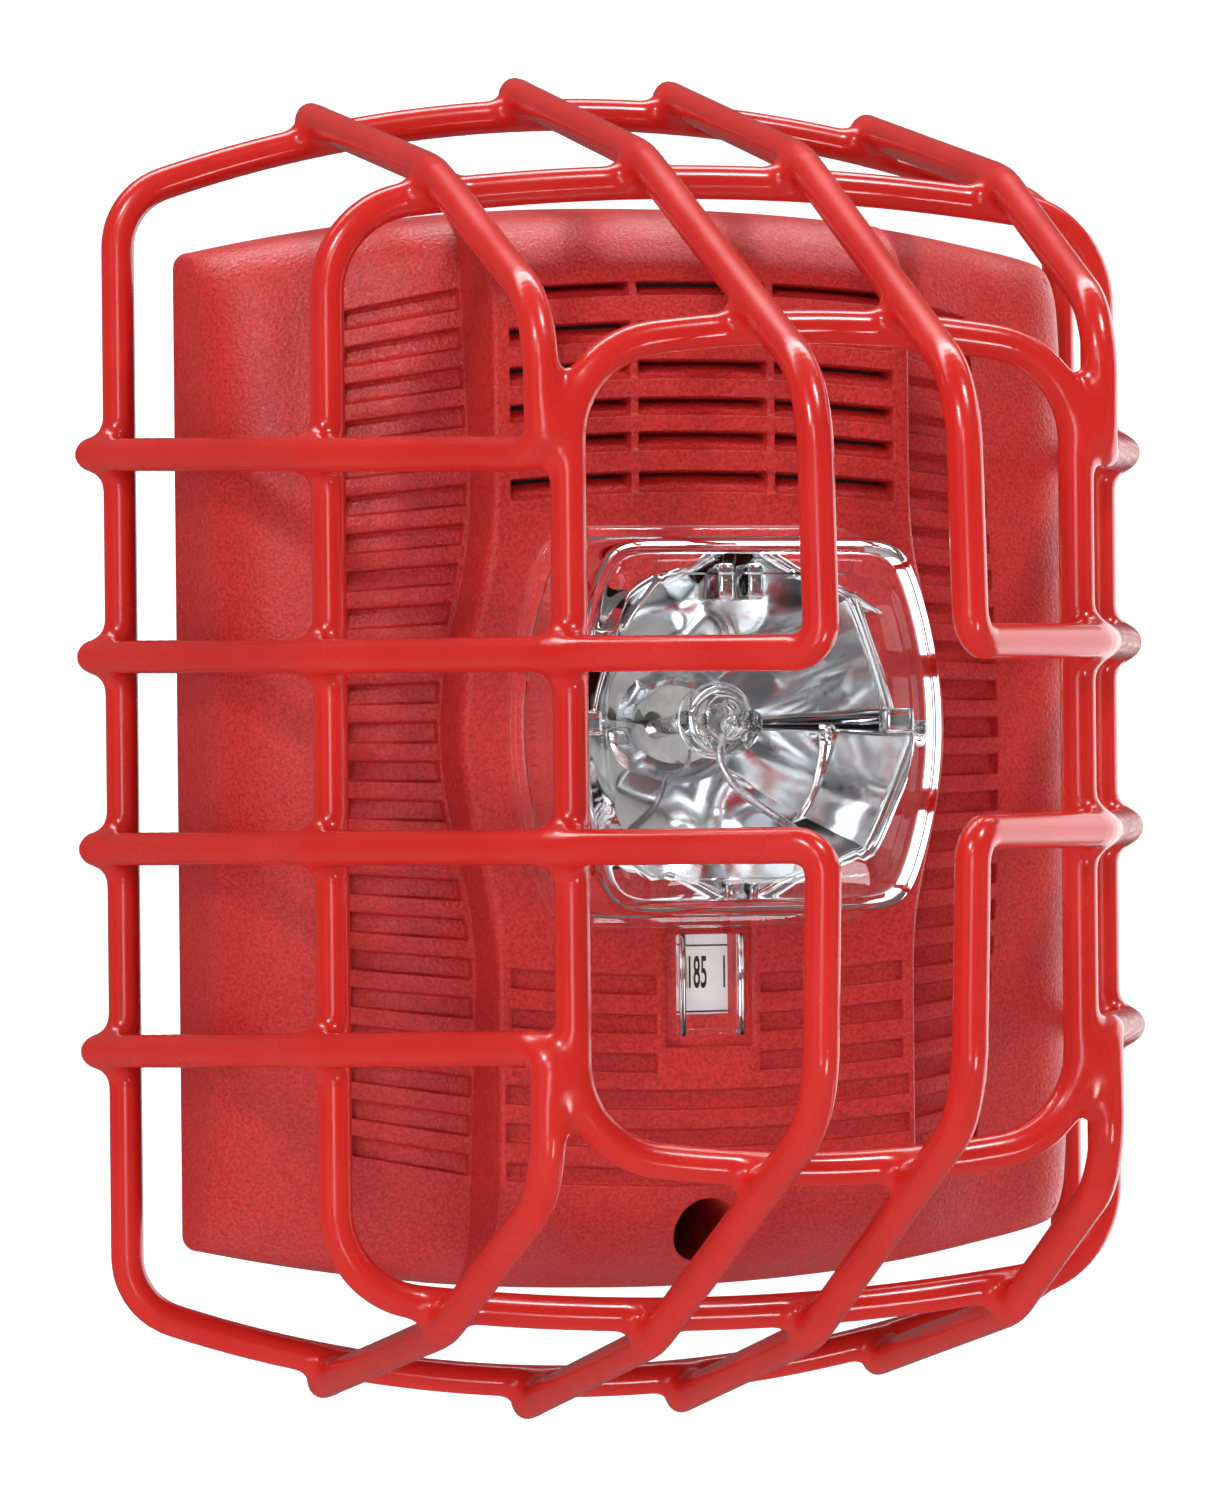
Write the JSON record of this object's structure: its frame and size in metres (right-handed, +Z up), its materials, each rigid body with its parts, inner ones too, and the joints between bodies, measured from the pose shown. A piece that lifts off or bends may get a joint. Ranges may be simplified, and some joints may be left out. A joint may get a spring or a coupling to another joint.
{
  "type": "wall horn strobe with wire guard",
  "caption": "Red wall-mounted fire alarm horn and strobe in a bowed welded wire guard, hooked on a mounting plate, with a clear strobe lens and a horn grille.",
  "frame": {"origin": "centre of the two wall box screw holes, on the wall plane behind the mounting plate", "axes": "+X to the right seen from the front, -Y out of the wall towards the viewer, +Z up"},
  "size_m": [0.1412, 0.123, 0.178],
  "materials": {
    "guard_red": "glossy red polyester coating on welded steel wire",
    "housing_red": "red moulded plastic with a fine grain",
    "clear": "clear moulded polycarbonate",
    "chrome": "vacuum metallised plastic",
    "tube_glass": "clear glass of the flash tube",
    "steel": "bright zinc-plated steel",
    "dark_steel": "blackened steel",
    "brass": "plain brass",
    "copper": "enamelled copper wire",
    "ferrite": "dark ferrite and potting",
    "black_plastic": "black moulded plastic",
    "white_plastic": "white moulded plastic",
    "label_white": "white printed label strip",
    "board_green": "green solder mask",
    "sleeve_blue": "dark blue capacitor sleeve",
    "lead_red": "insulated hook-up wire",
    "rubber": "soft black rubber"
  },
  "bodies": {
    "wall": {"mounting_plate": "black_plastic", "terminal_block": "black_plastic", "terminal_contacts": "brass", "terminal_screws": "steel", "shorting_spring": "steel", "thread_insert": "brass", "guard_rear_ring": "guard_red", "guard_middle_ring": "guard_red", "guard_front_ring": "guard_red", "guard_outer_upper_left": "guard_red", "guard_outer_upper_right": "guard_red", "guard_outer_lower_left": "guard_red", "guard_outer_lower_right": "guard_red", "guard_inner_upper_left": "guard_red", "guard_inner_upper_right": "guard_red", "guard_inner_lower_left": "guard_red", "guard_inner_lower_right": "guard_red"},
    "head": {"housing": "housing_red", "lens": "clear", "reflector": "chrome", "flash_tube": "tube_glass", "tube_leads": "steel", "trigger_wire": "steel", "tube_holder": "white_plastic", "horn_chamber": "black_plastic", "piezo_disc": "brass", "disc_ring": "rubber", "horn_leads": "lead_red", "circuit_board": "board_green", "storage_capacitor": "sleeve_blue", "inductor_core": "ferrite", "inductor_winding": "copper", "trigger_coil": "ferrite", "tone_switch_body": "black_plastic", "candela_switch_body": "black_plastic", "contact_pins": "brass", "rear_cover": "black_plastic", "cover_screws": "steel", "board_screws": "steel", "captive_screw": "dark_steel", "screw_retainer": "rubber"},
    "candela": {"candela_slider": "white_plastic", "candela_label": "label_white"},
    "tone": {"tone_dial": "white_plastic"}
  },
  "joints": [
    {"name": "head_tilt", "type": "hinge", "parent": "wall", "child": "head", "pos_m": [0, -0.0125, 0.0638], "axis": [-1, 0, 0], "range_deg": [0, 3]},
    {"name": "candela_slide", "type": "slide", "parent": "head", "child": "candela", "axis": [-1, 0, 0], "range_m": [0, 0.0123]},
    {"name": "tone_turn", "type": "hinge", "parent": "head", "child": "tone", "pos_m": [-0.03, -0.0126, 0.022], "axis": [0, 1, 0], "range_deg": [0, 315]}
  ]
}
